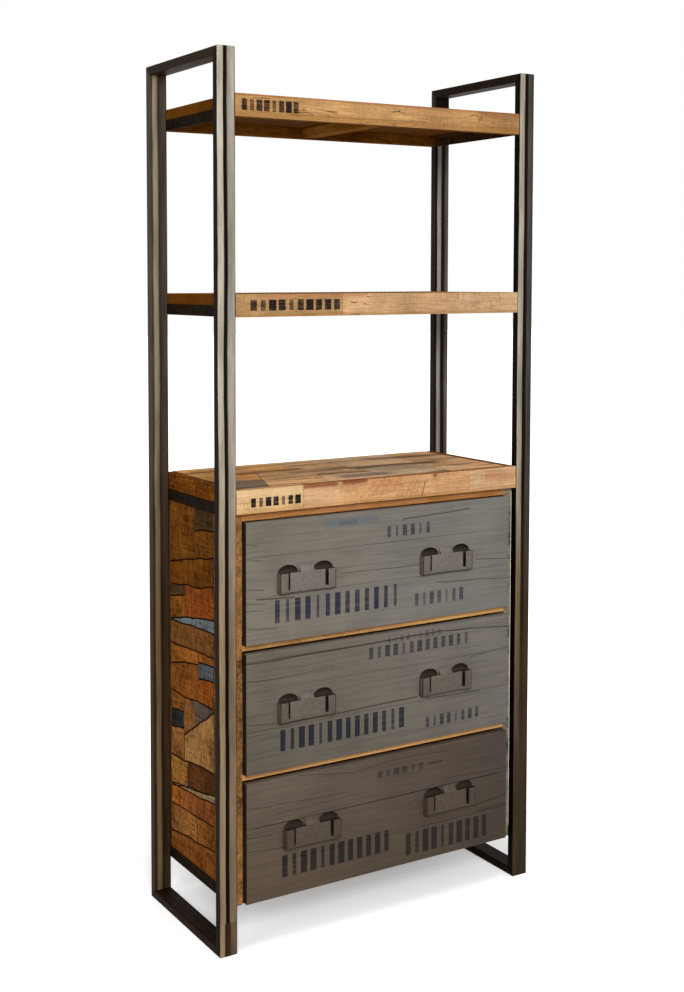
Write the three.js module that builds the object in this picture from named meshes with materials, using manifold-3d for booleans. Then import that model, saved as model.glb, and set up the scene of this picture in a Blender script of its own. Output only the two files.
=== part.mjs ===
// A tall bookcase: two side frames of flat-sided steel tube carry two boxed shelves and, at the bottom,
// a cabinet with three drawers, all of reclaimed boards. Lengths are millimetres. X runs across the
// front, Y from the front of the posts to the back, and Z up from the floor. The finished group stands
// on its base centre.

import * as THREE from "three";
import { mergeVertices } from "three/addons/utils/BufferGeometryUtils.js";
import Module from "manifold-3d";

const wasm = await Module();
wasm.setup();

// Overall size
const width = 880;
const depth = 355;
const height = 2000;

// Steel tube of the side frames, mitred at the corners: its face across the front, its thickness in the
// plane of the frame, its wall and its rounded corners
const tubeFace = 45;
const tubeThick = 20;
const tubeWall = 2;
const tubeCorner = 2.5;

// Steel angle of the cross rails, welded between the posts flush with their inner faces
const angleLeg = 25;
const angleThick = 3;

// Gap left between pieces that touch, the run of a cutter past what it cuts, and the facets of a bend
const seam = 0.3;
const overrun = 5;
const bendFacets = 3;

// Levels: the upper shelf's drop from the top of the frame, the cabinet top as a share of the height, the
// middle shelf as a share of the way from the cabinet top to the upper shelf, and the lowest rail
const upperShelfDrop = 98;
const cabinetTopShare = 0.52;
const middleShelfShare = 0.4977;
const lowRailBottom = 99;

// Shelves: a board between a front and a back edge strip, over a batten at the middle
const boardThick = 25;
const shelfEdge = 50;
const stripThick = 19;
const stripSetback = 1;
const battenWidth = 38;
const battenHeight = 22;

// Cabinet: edge height of its top, how far the top laps over the cross rails, panels and front rails
const cabinetEdge = 54;
const railLap = 11;
const sideThick = 22;
const backThick = 8;
const backSetback = 1;
const carcassSetback = 17.5;
const frontRailDepth = 40;
const topRailHeight = 18;
const dividerHeight = 13.5;

// Reclaimed planks are joined with a small V groove; the shares say where the joints lie
const grooveWidth = 3;
const grooveDepth = 1.5;
const sideJointShares = [0.085, 0.16, 0.298, 0.468, 0.677, 0.867, 0.941];
const topJointShares = [0.28, 0.53, 0.77];
const frontJointShares = [
  [0.3, 0.62],
  [0.35, 0.68, 0.93],
  [0.38, 0.71],
];

// Small chamfer on the edges of the boards
const arris = 0.8;

// Drawers: the gap between fronts shows the divider, the box starts above its front's lower edge and
// ends below its upper edge
const drawerCount = 3;
const frontThick = 17;
const frontGap = 19.5;
const frontReveal = 1.5;
const frontSideGap = 1.2;
const frontDrop = 22;
const boxSide = 12;
const boxTopDrop = 47;
const boxBackGap = 11;
const boxSideGap = 2;
const boxBottom = 6;
const bottomGroove = 6;
const bottomLift = 10;
const backLower = 12;
const runningGap = 0.4;
const runnerWidth = 26;
const runnerHeight = 15;

// Drawer pulls: a strip of steel bent into two end straps and a lower middle plate, slotted apart down to
// a bridge at the foot; the plate's tongue leans back to the drawer front, and two finger hollows are cut
// in the front behind each pull
const pullWidth = 150;
const pullHeight = 62;
const pullReach = 14;
const pullSheet = 2.5;
const strapWidth = 25;
const strapStep = 3.5;
const plateHeight = 45;
const slotWidth = 4.4;
const bridgeHeight = 9;
const tongueWidth = 36;
const tongueFoot = 8;
const tongueLean = 7;
const hollowDepth = 9;
const hollowMargin = 2;
const pullSpacingShare = 0.529;
const pullLift = 3;
const pullShiftShares = [-0.008, -0.028, -0.028];

// Finishes
const steel = new THREE.MeshStandardMaterial({ color: 0x3a3129, roughness: 0.5, metalness: 0.7 });
const pullSteel = new THREE.MeshStandardMaterial({ color: 0x6b655c, roughness: 0.5, metalness: 0.6 });
const teak = new THREE.MeshStandardMaterial({ color: 0xb8813f, roughness: 0.7, metalness: 0 });
const sideWood = new THREE.MeshStandardMaterial({ color: 0x7a4a20, roughness: 0.75, metalness: 0 });
const greyFront = new THREE.MeshStandardMaterial({ color: 0x6f6c66, roughness: 0.7, metalness: 0 });
const boxWood = new THREE.MeshStandardMaterial({ color: 0xc09a68, roughness: 0.8, metalness: 0 });

// Sizes that follow from the ones above
const upperShelfTop = height - upperShelfDrop;
const cabinetTop = height * cabinetTopShare;
const middleShelfTop = cabinetTop + (upperShelfTop - cabinetTop) * middleShelfShare;
const innerHalf = width / 2 - tubeFace;
const woodHalf = innerHalf - seam;
const carcassHalf = woodHalf - sideThick;
const railTopUnderCabinet = cabinetTop - cabinetEdge + railLap + angleThick;
const panelBottom = lowRailBottom + angleThick + seam;
const panelTop = cabinetTop - cabinetEdge - seam;
const backFace = depth - backSetback - backThick;
const topRailBottom = panelTop - topRailHeight;
const firstBoxBottom = panelBottom + boardThick + runningGap;
const firstFrontBottom = firstBoxBottom - frontDrop;
const frontsTop = topRailBottom - frontReveal;
const frontHeight =
  (frontsTop - firstFrontBottom - (drawerCount - 1) * frontGap) / drawerCount;
const pitch = frontHeight + frontGap;
const boxHeight = frontHeight - frontDrop - boxTopDrop;
const frontHalf = carcassHalf - frontSideGap;
const boxHalf = carcassHalf - boxSideGap;
const boxFrontFace = frontThick + seam;
const boxBackFace = backFace - boxBackGap;

const bookcase = new THREE.Group();
bookcase.position.y = -(depth - pullReach) / 2;

function place(parent, name, geometry, material, x, y, z) {
  const mesh = new THREE.Mesh(geometry, material);
  mesh.name = name;
  mesh.position.set(x, y, z);
  parent.add(mesh);
  return mesh;
}

// An outline extruded up Z, or turned to run along X or Y from zero
function extrudeUp(outline, length) {
  return new THREE.ExtrudeGeometry(outline, {
    depth: length,
    bevelEnabled: false,
    curveSegments: bendFacets,
  });
}

function extrudeAlongX(outline, length) {
  const turn = new THREE.Matrix4().makeBasis(
    new THREE.Vector3(0, 1, 0),
    new THREE.Vector3(0, 0, 1),
    new THREE.Vector3(1, 0, 0),
  );
  return extrudeUp(outline, length).applyMatrix4(turn);
}

function extrudeAlongY(outline, length) {
  return extrudeUp(outline, length).rotateX(Math.PI / 2).translate(0, length, 0);
}

function outlineOf(points) {
  return new THREE.Shape(points.map(([u, v]) => new THREE.Vector2(u, v)));
}

// Booleans
function toSolid(geometry) {
  const bare = geometry.clone();
  bare.deleteAttribute("normal");
  bare.deleteAttribute("uv");
  const merged = mergeVertices(bare);
  return new wasm.Manifold(
    new wasm.Mesh({
      numProp: 3,
      vertProperties: merged.attributes.position.array,
      triVerts: new Uint32Array(merged.index.array),
    }),
  );
}

function toGeometry(solid) {
  const { numProp, vertProperties, triVerts } = solid.getMesh();
  const points = [];
  for (const vertex of triVerts) {
    points.push(...vertProperties.slice(vertex * numProp, vertex * numProp + 3));
  }
  const geometry = new THREE.BufferGeometry();
  geometry.setAttribute("position", new THREE.Float32BufferAttribute(points, 3));
  geometry.computeVertexNormals();
  return geometry;
}

function cutFrom(geometry, cutters) {
  const solid = cutters.reduce((rest, cutter) => rest.subtract(toSolid(cutter)), toSolid(geometry));
  return toGeometry(solid);
}

function joined(geometries) {
  const [first, ...others] = geometries.map(toSolid);
  return toGeometry(others.reduce((sum, other) => sum.add(other), first));
}

// A board with chamfered edges between two corners
function board(parent, name, material, [x0, y0, z0], [x1, y1, z1]) {
  const outline = outlineOf([[x0, y0], [x1, y0], [x1, y1], [x0, y1]]);
  const geometry = new THREE.ExtrudeGeometry(outline, {
    depth: z1 - z0 - 2 * arris,
    bevelThickness: arris,
    bevelSize: arris,
    bevelOffset: -arris,
    bevelSegments: 1,
  });
  return place(parent, name, geometry, material, 0, 0, z0 + arris);
}

// One edge of a plank panel, from one end to the other, with a V groove at each joint; into is the
// direction, across the edge, in which the grooves are cut
function groovedEdge(length, shares, across, into) {
  const joints = shares.flatMap((share) => [
    [share * length - grooveWidth / 2, across],
    [share * length, across + into * grooveDepth],
    [share * length + grooveWidth / 2, across],
  ]);
  return [[0, across], ...joints, [length, across]];
}

// Side frames: four tubes each, cut at 45 degrees so that the outer side is the longer
function roundedRectangle(w, d, inset, radius) {
  const [x0, y0, x1, y1] = [inset, inset, w - inset, d - inset];
  const outline = new THREE.Shape();
  outline.moveTo(x0 + radius, y0);
  outline.absarc(x1 - radius, y0 + radius, radius, -Math.PI / 2, 0);
  outline.absarc(x1 - radius, y1 - radius, radius, 0, Math.PI / 2);
  outline.absarc(x0 + radius, y1 - radius, radius, Math.PI / 2, Math.PI);
  outline.absarc(x0 + radius, y0 + radius, radius, Math.PI, (3 * Math.PI) / 2);
  return outline;
}

function mitredTube(length) {
  const profile = roundedRectangle(tubeFace, tubeThick, 0, tubeCorner);
  profile.holes.push(
    roundedRectangle(tubeFace, tubeThick, tubeWall, tubeCorner - tubeWall),
  );
  const back = seam * Math.SQRT1_2;
  const inner = tubeThick + overrun;
  const end = (sign, start) =>
    extrudeAlongX(
      outlineOf([
        [-overrun, start + sign * (back - overrun)],
        [inner, start + sign * (back + inner)],
        [inner, start - sign * 2 * overrun],
        [-overrun, start - sign * 2 * overrun],
      ]),
      tubeFace + 2 * overrun,
    ).translate(-overrun, 0, 0);
  return cutFrom(extrudeUp(profile, length), [end(1, 0), end(-1, length)]);
}

// Cross rail of angle steel: one leg stands against the wood, the other reaches under it, at the top of
// the rail or at its bottom
function crossRail(side, legAtTop) {
  const [leg, thick] = [angleLeg, angleThick];
  const points = legAtTop
    ? [[0, 0], [thick, 0], [thick, leg - thick], [leg, leg - thick], [leg, leg], [0, leg]]
    : [[0, 0], [leg, 0], [leg, thick], [thick, thick], [thick, leg], [0, leg]];
  const outline = outlineOf(points.map(([u, v]) => [-side * u, v]));
  return extrudeAlongY(outline, depth - 2 * (tubeThick + seam));
}

const railLevels = [
  ["upper_shelf", upperShelfTop - boardThick - seam - angleLeg, true],
  ["middle_shelf", middleShelfTop - boardThick - seam - angleLeg, true],
  ["cabinet_top", railTopUnderCabinet - angleLeg, true],
  ["cabinet_base", lowRailBottom, false],
];

for (const [side, hand] of [[-1, "left"], [1, "right"]]) {
  const frame = new THREE.Group();
  frame.position.x = side * (width / 2 - tubeFace / 2);
  bookcase.add(frame);
  const half = tubeFace / 2;
  place(frame, `${hand}_front_post`, mitredTube(height), steel, -half, 0, 0);
  const backPost = place(frame, `${hand}_back_post`, mitredTube(height), steel, half, depth, 0);
  backPost.rotation.z = Math.PI;
  const topBar = place(frame, `${hand}_top_bar`, mitredTube(depth), steel, -half, 0, height);
  topBar.rotation.x = -Math.PI / 2;
  const bottomBar = place(frame, `${hand}_bottom_bar`, mitredTube(depth), steel, -half, depth, 0);
  bottomBar.rotation.x = Math.PI / 2;
  for (const [level, z, legAtTop] of railLevels) {
    const x = side * (angleThick - half);
    place(frame, `${hand}_rail_${level}`, crossRail(side, legAtTop), steel, x, tubeThick + seam, z);
  }
}

// Open shelves
function shelf(name, top) {
  const group = new THREE.Group();
  group.position.z = top;
  bookcase.add(group);
  const frontStrip = [stripSetback, stripSetback + stripThick];
  const backStrip = frontStrip.map((y) => depth - y).reverse();
  const boardFrom = frontStrip[1] + seam;
  const boardTo = backStrip[0] - seam;
  for (const [part, [from, to]] of [["front_strip", frontStrip], ["back_strip", backStrip]]) {
    board(group, `${name}_${part}`, teak, [-woodHalf, from, -shelfEdge], [woodHalf, to, 0]);
  }
  board(group, `${name}_board`, teak, [-woodHalf, boardFrom, -boardThick], [woodHalf, boardTo, 0]);
  const battenTop = -boardThick - seam;
  board(
    group,
    `${name}_batten`,
    teak,
    [-battenWidth / 2, boardFrom, battenTop - battenHeight],
    [battenWidth / 2, boardTo, battenTop],
  );
}

shelf("upper_shelf", upperShelfTop);
shelf("middle_shelf", middleShelfTop);

// Cabinet top: planks between a front strip and two end strips
{
  const group = new THREE.Group();
  group.position.z = cabinetTop;
  bookcase.add(group);
  const stripBack = stripSetback + stripThick;
  const endBottom = railTopUnderCabinet + seam - cabinetTop;
  const topHalf = woodHalf - stripThick - seam;
  board(
    group,
    "cabinet_top_front_strip",
    teak,
    [-woodHalf, stripSetback, -cabinetEdge],
    [woodHalf, stripBack, 0],
  );
  for (const [side, hand] of [[-1, "left"], [1, "right"]]) {
    const [x0, x1] = [side * woodHalf, side * (woodHalf - stripThick)].sort((a, b) => a - b);
    board(
      group,
      `cabinet_top_${hand}_strip`,
      teak,
      [x0, stripBack + seam, endBottom],
      [x1, backFace - seam, 0],
    );
  }
  const planksFrom = stripBack + seam;
  const planksDeep = depth - backSetback - planksFrom;
  const edge = groovedEdge(planksDeep, topJointShares, 0, -1);
  const outline = outlineOf([...edge, [planksDeep, -boardThick], [0, -boardThick]]);
  place(group, "cabinet_top_board", extrudeAlongX(outline, 2 * topHalf), teak, -topHalf, planksFrom, 0);
}

// Cabinet carcass
const sideDeep = backFace - seam - carcassSetback;
for (const [side, hand] of [[-1, "left"], [1, "right"]]) {
  const panelHeight = panelTop - panelBottom;
  const edge = groovedEdge(panelHeight, sideJointShares, 0, 1);
  const section = [...edge, [panelHeight, sideThick], [0, sideThick]];
  const outline = outlineOf(section.map(([z, x]) => [-side * x, z]));
  place(
    bookcase,
    `cabinet_${hand}_side`,
    extrudeAlongY(outline, sideDeep),
    sideWood,
    side * woodHalf,
    carcassSetback,
    panelBottom,
  );
}
board(
  bookcase,
  "cabinet_back",
  sideWood,
  [-woodHalf, backFace, panelBottom],
  [woodHalf, backFace + backThick, cabinetTop - boardThick - seam],
);
const fillHalf = carcassHalf - seam;
board(
  bookcase,
  "cabinet_bottom",
  sideWood,
  [-fillHalf, carcassSetback, panelBottom],
  [fillHalf, backFace - seam, panelBottom + boardThick],
);
const railBack = carcassSetback + frontRailDepth;
board(
  bookcase,
  "top_front_rail",
  teak,
  [-fillHalf, carcassSetback, topRailBottom],
  [fillHalf, railBack, panelTop],
);

// Pull: the plan outline of the bent strip, run up to the height of the plate, slotted at both steps, with
// the tongue joined on
function bentStrip(line, thickness) {
  const offset = (sign) =>
    line.map(([x, y], i) => {
      const before = line[Math.max(i - 1, 0)];
      const after = line[Math.min(i + 1, line.length - 1)];
      const inward = new THREE.Vector2(x - before[0], y - before[1]);
      const outward = new THREE.Vector2(after[0] - x, after[1] - y);
      const a = (i ? inward : outward).normalize();
      const b = (i < line.length - 1 ? outward : inward).normalize();
      const mitre = new THREE.Vector2(-a.y - b.y, a.x + b.x);
      const reach = (sign * thickness) / (1 + a.dot(b));
      return [x + mitre.x * reach, y + mitre.y * reach];
    });
  return outlineOf([...offset(0), ...offset(1).reverse()]);
}

function pullGeometry() {
  const [outer, inner] = [pullWidth / 2, pullWidth / 2 - strapWidth];
  const plateFace = pullReach - strapStep;
  const bend = pullSheet;
  const right = [
    [inner - bend, -plateFace],
    [inner + bend, -pullReach],
    [outer - bend, -pullReach],
    [outer, bend - pullReach],
    [outer, -seam],
  ];
  const left = right.map(([x, y]) => [-x, y]).reverse();
  const slot = outlineOf([
    [-slotWidth / 2, -pullReach - overrun],
    [slotWidth / 2, -pullReach - overrun],
    [slotWidth / 2, 0],
    [-slotWidth / 2, 0],
  ]);
  const slots = [-inner, inner].map((x) =>
    extrudeUp(slot, plateHeight - bridgeHeight + overrun).translate(x, 0, bridgeHeight),
  );
  const bent = extrudeUp(bentStrip([...left, ...right], pullSheet), plateHeight);
  const strip = cutFrom(bent, slots);
  const wallFace = -seam - pullSheet;
  const plateBack = -plateFace + pullSheet;
  const tongueTop = pullHeight;
  const footFrom = tongueTop - tongueFoot;
  const leanFrom = footFrom - tongueLean;
  const tongue = extrudeAlongX(
    outlineOf([
      [-plateFace, plateHeight - pullSheet],
      [plateBack, plateHeight - pullSheet],
      [plateBack, leanFrom - pullSheet / 2],
      [-seam, footFrom],
      [-seam, tongueTop],
      [wallFace, tongueTop],
      [wallFace, footFrom + pullSheet / 2],
      [-plateFace, leanFrom],
    ]),
    tongueWidth,
  ).translate(-tongueWidth / 2, 0, 0);
  return joined([strip, tongue]).translate(0, 0, -pullHeight / 2);
}

// Two arched finger hollows behind a pull, either side of its tongue
function hollowCutters() {
  const inner = tongueWidth / 2 + hollowMargin;
  const outer = pullWidth / 2 - hollowMargin;
  const half = (outer - inner) / 2;
  const spring = plateHeight - pullHeight / 2;
  const rise = pullHeight - plateHeight;
  return [-1, 1].map((side) => {
    const outline = new THREE.Shape();
    outline.moveTo(side * (inner + half) - half, 0);
    outline.lineTo(side * (inner + half) + half, 0);
    outline.absellipse(side * (inner + half), spring, half, rise, 0, Math.PI);
    return new THREE.ExtrudeGeometry(outline, {
      depth: hollowDepth + overrun,
      bevelEnabled: false,
      curveSegments: 4 * bendFacets,
    })
      .rotateX(Math.PI / 2)
      .translate(0, hollowDepth, 0);
  });
}

// Drawers: front, two grooved sides, back, bottom and two pulls
function drawer(index) {
  const name = `drawer_${drawerCount - index}`;
  const group = new THREE.Group();
  group.position.z = firstFrontBottom + index * pitch;
  bookcase.add(group);

  const jointShares = frontJointShares[index % frontJointShares.length];
  const edge = groovedEdge(frontHeight, jointShares, 0, 1);
  const section = [...edge, [frontHeight, frontThick], [0, frontThick]];
  const outline = outlineOf(section.map(([z, y]) => [y, z]));
  const shiftShare = pullShiftShares[index % pullShiftShares.length];
  const pullCentres = [-1, 1].map((side) => frontHalf * (side * pullSpacingShare + 2 * shiftShare));
  const pullZ = frontHeight / 2 + pullLift;
  const hollows = pullCentres.flatMap((x) =>
    hollowCutters().map((cutter) => cutter.translate(x, 0, pullZ)),
  );
  const planks = extrudeAlongX(outline, 2 * frontHalf).translate(-frontHalf, 0, 0);
  const frontGeometry = cutFrom(planks, hollows);
  place(group, `${name}_front`, frontGeometry, greyFront, 0, 0, 0);

  const box = new THREE.Group();
  box.position.z = frontDrop;
  group.add(box);
  const boxDeep = boxBackFace - boxFrontFace;
  const grooveFrom = bottomLift;
  const grooveTo = bottomLift + boxBottom + 2 * seam;
  const bottomInto = boxSide - bottomGroove;
  for (const [side, hand] of [[-1, "left"], [1, "right"]]) {
    const points = [
      [0, 0],
      [boxSide, 0],
      [boxSide, grooveFrom],
      [bottomInto, grooveFrom],
      [bottomInto, grooveTo],
      [boxSide, grooveTo],
      [boxSide, boxHeight],
      [0, boxHeight],
    ];
    const profile = outlineOf(points.map(([u, v]) => [-side * u, v]));
    place(
      box,
      `${name}_${hand}_side`,
      extrudeAlongY(profile, boxDeep),
      boxWood,
      side * boxHalf,
      boxFrontFace,
      0,
    );
  }
  const innerWidthHalf = boxHalf - boxSide - seam;
  const bottomHalf = boxHalf - bottomInto - seam;
  const bottomTop = grooveTo - seam;
  board(
    box,
    `${name}_bottom`,
    boxWood,
    [-bottomHalf, boxFrontFace, grooveFrom + seam],
    [bottomHalf, boxBackFace, bottomTop],
  );
  board(
    box,
    `${name}_back`,
    boxWood,
    [-innerWidthHalf, boxBackFace - boxSide, bottomTop + seam],
    [innerWidthHalf, boxBackFace, boxHeight - backLower],
  );

  for (const [i, hand] of [[0, "left"], [1, "right"]]) {
    place(group, `${name}_${hand}_pull`, pullGeometry(), pullSteel, pullCentres[i], 0, pullZ);
  }
}

for (let index = 0; index < drawerCount; index += 1) {
  drawer(index);
}

// Dividers between the drawers, and the runners that carry the upper ones
for (let index = 1; index < drawerCount; index += 1) {
  const group = new THREE.Group();
  group.position.z = firstFrontBottom + index * pitch;
  bookcase.add(group);
  const number = drawerCount - index;
  const dividerTop = -(frontGap - dividerHeight) / 2;
  board(
    group,
    `divider_rail_${number}`,
    teak,
    [-fillHalf, carcassSetback, dividerTop - dividerHeight],
    [fillHalf, railBack, dividerTop],
  );
  const runnerTop = frontDrop - runningGap;
  for (const [side, hand] of [[-1, "left"], [1, "right"]]) {
    const [x0, x1] = [side * fillHalf, side * (fillHalf - runnerWidth)].sort((a, b) => a - b);
    board(
      group,
      `${hand}_runner_${number}`,
      boxWood,
      [x0, railBack + seam, runnerTop - runnerHeight],
      [x1, backFace - seam, runnerTop],
    );
  }
}

export default bookcase;
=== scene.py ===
import math
import random

import bmesh
import bpy
from mathutils import Matrix, Vector, noise


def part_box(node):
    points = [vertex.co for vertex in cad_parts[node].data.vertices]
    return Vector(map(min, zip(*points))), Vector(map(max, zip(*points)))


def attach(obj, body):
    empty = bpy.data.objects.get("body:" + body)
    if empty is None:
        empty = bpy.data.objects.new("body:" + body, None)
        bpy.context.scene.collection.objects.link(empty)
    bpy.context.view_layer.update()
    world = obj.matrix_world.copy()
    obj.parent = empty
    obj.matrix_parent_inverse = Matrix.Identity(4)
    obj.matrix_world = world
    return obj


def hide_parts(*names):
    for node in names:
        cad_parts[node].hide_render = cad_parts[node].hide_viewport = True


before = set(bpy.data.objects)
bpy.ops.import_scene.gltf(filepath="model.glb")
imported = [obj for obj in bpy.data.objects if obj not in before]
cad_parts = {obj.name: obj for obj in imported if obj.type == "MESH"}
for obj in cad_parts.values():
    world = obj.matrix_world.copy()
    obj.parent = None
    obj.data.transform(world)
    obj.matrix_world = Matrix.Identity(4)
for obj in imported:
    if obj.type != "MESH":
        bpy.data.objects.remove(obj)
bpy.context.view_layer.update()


# The camera stands to the left of the bookcase at eye height, level with the middle shelf, and sees the front
# and the left side. Its back is shifted a little, as the picture is framed off its axis. The picture's sizes,
# the focal length and the place of the axis in the picture are in pixels.
PICTURE_WIDTH, PICTURE_HEIGHT = 684, 992
FOCAL_LENGTH = 1354.3
AXIS_ACROSS, AXIS_DOWN = 250, 362.4
SENSOR = 36
AIM = math.radians(29.46)
DIP = math.radians(3.475)
ROLL = math.radians(-0.127)
CAMERA_PLACE = (-1.8121, -2.7409, 1.4997)
forward = Vector((math.sin(AIM) * math.cos(DIP), math.cos(AIM) * math.cos(DIP), -math.sin(DIP)))
level = Vector((math.cos(AIM), -math.sin(AIM), 0))
up = level.cross(forward)
right = level * math.cos(ROLL) + up * math.sin(ROLL)
up = up * math.cos(ROLL) - level * math.sin(ROLL)

camera_data = bpy.data.cameras.new("camera")
camera_data.sensor_width = SENSOR
camera_data.lens = SENSOR * FOCAL_LENGTH / PICTURE_HEIGHT
camera_data.shift_x = (PICTURE_WIDTH / 2 - AXIS_ACROSS) / PICTURE_HEIGHT
camera_data.shift_y = (AXIS_DOWN - PICTURE_HEIGHT / 2) / PICTURE_HEIGHT
camera = bpy.data.objects.new("camera", camera_data)
bpy.context.scene.collection.objects.link(camera)
turn = Matrix((right, up, -forward)).transposed().to_4x4()
camera.matrix_world = Matrix.Translation(CAMERA_PLACE) @ turn
bpy.context.scene.camera = camera
bpy.context.scene.view_settings.view_transform = "Standard"


# A studio floor of white paper, swept up out of sight, which takes the soft shadow of the bookcase. To the
# camera it glows a little, so that only the deep shadow shows, and it throws little light up at the shelves.
def linear(colour):
    """A colour as seen on a screen, such as #8b877c, as the amounts of light that a shader works with"""
    parts = [int(colour[i : i + 2], 16) / 255 for i in (1, 3, 5)]
    return [p / 12.92 if p <= 0.04045 else ((p + 0.055) / 1.055) ** 2.4 for p in parts] + [1]


def add(tree, kind, settings=(), links=()):
    """Adds a node: settings are inputs by name or number, properties, or the stops of a ramp"""
    node = tree.nodes.new("ShaderNode" + kind)
    for name, value in dict(settings).items():
        if name == "stops":
            elements = node.color_ramp.elements
            elements.remove(elements[1])
            elements[0].position, elements[0].color = value[0][0], linear(value[0][1])
            for place, colour in value[1:]:
                elements.new(place).color = linear(colour)
        elif isinstance(name, int) or name in node.inputs:
            node.inputs[name].default_value = value
        else:
            setattr(node, name, value)
    for name, source in dict(links).items():
        output = source if isinstance(source, bpy.types.NodeSocket) else source.outputs[0]
        tree.links.new(output, node.inputs[name])
    return node


def new_material(name):
    """An empty material and its tree"""
    made = bpy.data.materials.new(name)
    made.use_nodes = True
    made.node_tree.nodes.clear()
    return made, made.node_tree


def looked_at(tree):
    """1 for what the camera looks at, straight, in a gloss or through glass, and 0 for light thrown on"""
    ray = add(tree, "LightPath").outputs
    facing = add(tree, "Math", {"operation": "MAXIMUM"}, {0: ray["Is Camera Ray"], 1: ray["Is Glossy Ray"]})
    return add(tree, "Math", {"operation": "MAXIMUM"}, {0: facing, 1: ray["Is Transmission Ray"]})


FLOOR_WIDTH = 60
bpy.ops.object.select_all(action="DESELECT")
bpy.ops.mesh.primitive_plane_add(size=FLOOR_WIDTH)
floor = bpy.context.object
floor.name = "studio_floor"
# matt paper: an even white without any gleam, which only the shadow greys
paper, tree = new_material("white_studio_paper")
place = add(tree, "TexCoord").outputs["Object"]
distance = add(tree, "VectorMath", {"operation": "LENGTH"}, {0: place}).outputs["Value"]
near_to_far = {"From Min": 0.5, "From Max": 1.4, "To Min": 0.3, "To Max": 1.0}
away = add(tree, "MapRange", near_to_far, {0: distance})
facing = looked_at(tree)
share = add(tree, "Math", {"operation": "MULTIPLY"}, {0: away, 1: facing})
tint = add(tree, "Mix", {"data_type": "RGBA", 6: linear("#9c9a97"), 7: linear("#fbfbfb")}, {0: facing})
white = add(tree, "BsdfDiffuse", {}, {"Color": tint.outputs[2]})
glow = add(tree, "Emission", {}, {"Strength": share})
both = add(tree, "AddShader", {}, {0: white, 1: glow})
add(tree, "OutputMaterial", {}, {"Surface": both})
floor.data.materials.append(paper)

world = bpy.data.worlds.new("studio")
bpy.context.scene.world = world
world.use_nodes = True
world.node_tree.nodes.clear()
tree = world.node_tree
strength = add(tree, "MapRange", {"To Min": 0.42, "To Max": 1.0}, {0: looked_at(tree)})
sky = add(tree, "Background", {"Color": (1, 1, 1, 1)}, {"Strength": strength})
add(tree, "OutputWorld", {}, {"Surface": sky})


# Three softboxes: the main one stands in front to the left, well above eye height, one hangs overhead, and a
# weak one fills in from the left. Places and sizes are in metres, power in watts.
def softbox(name, spot, target, size, power):
    """A round lamp at a spot, turned to a target"""
    light = bpy.data.lights.new(name, "AREA")
    light.shape = "DISK"
    light.size = size
    light.energy = power
    made = bpy.data.objects.new(name, light)
    bpy.context.scene.collection.objects.link(made)
    made.location = spot
    made.rotation_euler = (Vector(target) - Vector(spot)).to_track_quat("-Z", "Y").to_euler()


softbox("main_softbox", spot=(-1.9, -3.7, 2.7), target=(0, 0, 0.9), size=1.8, power=127)
softbox("overhead_softbox", spot=(0.2, -0.4, 4.6), target=(0, 0, 0.5), size=2.6, power=70)
softbox("fill_softbox", spot=(-3.6, -1.2, 1.8), target=(0, 0, 1.0), size=1.8, power=38)


# The two side frames are raw steel tube, 45 by 20 mm, cut and welded at the corners, blackened in long
# streaks and sealed with a clear satin lacquer. Across each post's face, a pale streak, a black one and a
# grey one are a painted reflection of the light, and the posts' narrow sides are painted dark as shade.
TUBE_FACE = 0.045
LEFT_TUBE, RIGHT_TUBE = -0.440, 0.395
BOOKCASE_HEIGHT = 2.0


def surface(tree, height, relief, settings, links):
    """Ends a material with its shader. relief is how strongly and how deep, in metres, the height shows"""
    strength, depth = relief
    bump = add(tree, "Bump", {"Strength": strength, "Distance": depth}, {"Height": height})
    shader = add(tree, "BsdfPrincipled", settings, {**links, "Normal": bump})
    add(tree, "OutputMaterial", {}, {"Surface": shader})


def dress(finish, *nodes):
    """Gives a finish to pieces that keep their plain shape"""
    for node in nodes:
        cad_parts[node].material_slots[0].material = finish


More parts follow.
